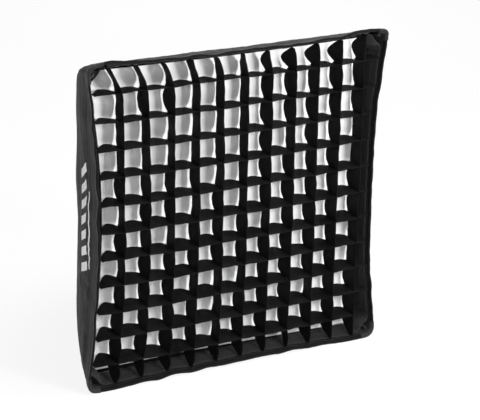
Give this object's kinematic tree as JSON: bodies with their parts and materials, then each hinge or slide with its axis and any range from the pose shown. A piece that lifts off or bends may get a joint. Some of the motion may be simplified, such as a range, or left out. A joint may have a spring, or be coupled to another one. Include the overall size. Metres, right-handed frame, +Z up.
{
  "type": "softbox",
  "caption": "Square fabric softbox on four bent rods, with a three-lug bayonet ring, white front diffuser and egg-crate grid.",
  "frame": {"origin": "centre of the bayonet insert's mounting face, on the optical axis", "axes": "+Z up, +Y from the softbox into the lamp along the optical axis, light leaves towards -Y, +X to the right seen from the front"},
  "size_m": [0.6, 0.3866, 0.6],
  "materials": {
    "shell_nylon": "black coated nylon, satin",
    "lip_nylon": "black nylon twill, doubled and stitched",
    "binding_tape": "black woven binding tape",
    "silver_lining": "silver coated cloth, soft sheen",
    "diffuser_white": "white translucent nylon",
    "grid_cloth": "black matt cotton-nylon",
    "hook_and_loop": "black hook-and-loop tape",
    "webbing": "grey-black nylon webbing",
    "rod_steel": "drawn spring steel",
    "cap_rubber": "matt rubber",
    "ring_black": "black powder coat on die-cast alloy",
    "bayonet_alloy": "turned, satin",
    "screw_steel": "zinc plated",
    "knob_plastic": "moulded, fluted",
    "washer_nylon": "natural nylon"
  },
  "bodies": {
    "insert": {"bayonet_insert": "bayonet_alloy", "retainer_ring": "bayonet_alloy", "retainer_screws": "screw_steel"},
    "softbox": {"speedring": "ring_black", "glide_washer": "washer_nylon", "socket_screws": "screw_steel", "rod_tip_caps": "cap_rubber", "rear_cuff": "shell_nylon", "rim_binding": "binding_tape", "grid_loop_tape": "hook_and_loop", "diffuser_loop_tape": "hook_and_loop", "rod_socket_top_right": "ring_black", "rod_top_right": "rod_steel", "corner_pocket_top_right": "webbing", "rod_socket_top_left": "ring_black", "rod_top_left": "rod_steel", "corner_pocket_top_left": "webbing", "rod_socket_bottom_left": "ring_black", "rod_bottom_left": "rod_steel", "corner_pocket_bottom_left": "webbing", "rod_socket_bottom_right": "ring_black", "rod_bottom_right": "rod_steel", "corner_pocket_bottom_right": "webbing", "panel_top": "shell_nylon", "rear_flap_top": "shell_nylon", "lining_top": "silver_lining", "lip_top": "lip_nylon", "panel_right": "shell_nylon", "rear_flap_right": "shell_nylon", "lining_right": "silver_lining", "lip_right": "lip_nylon", "panel_bottom": "shell_nylon", "rear_flap_bottom": "shell_nylon", "lining_bottom": "silver_lining", "lip_bottom": "lip_nylon", "panel_left": "shell_nylon", "rear_flap_left": "shell_nylon", "lining_left": "silver_lining", "lip_left": "lip_nylon"},
    "lock": {"lock_knob": "knob_plastic", "lock_screw": "screw_steel"},
    "diffuser": {"diffuser_cloth": "diffuser_white", "diffuser_hook_band": "hook_and_loop"},
    "grid": {"grid_uprights": "grid_cloth", "grid_crossings": "grid_cloth", "grid_hook_band": "hook_and_loop"}
  },
  "joints": [
    {"name": "ring_swivel", "type": "hinge", "parent": "insert", "child": "softbox", "pos_m": [0, 0, 0], "axis": [0, 1, 0], "continuous": true},
    {"name": "lock_turn", "type": "hinge", "parent": "softbox", "child": "lock", "pos_m": [0, -0.02, 0.069], "axis": [0, -1, 0], "range_deg": [0, 360]},
    {"name": "diffuser_pull", "type": "slide", "parent": "softbox", "child": "diffuser", "axis": [0, -1, 0], "range_m": [0, 0.25]},
    {"name": "grid_pull", "type": "slide", "parent": "diffuser", "child": "grid", "axis": [0, -1, 0], "range_m": [0, 0.25]}
  ]
}
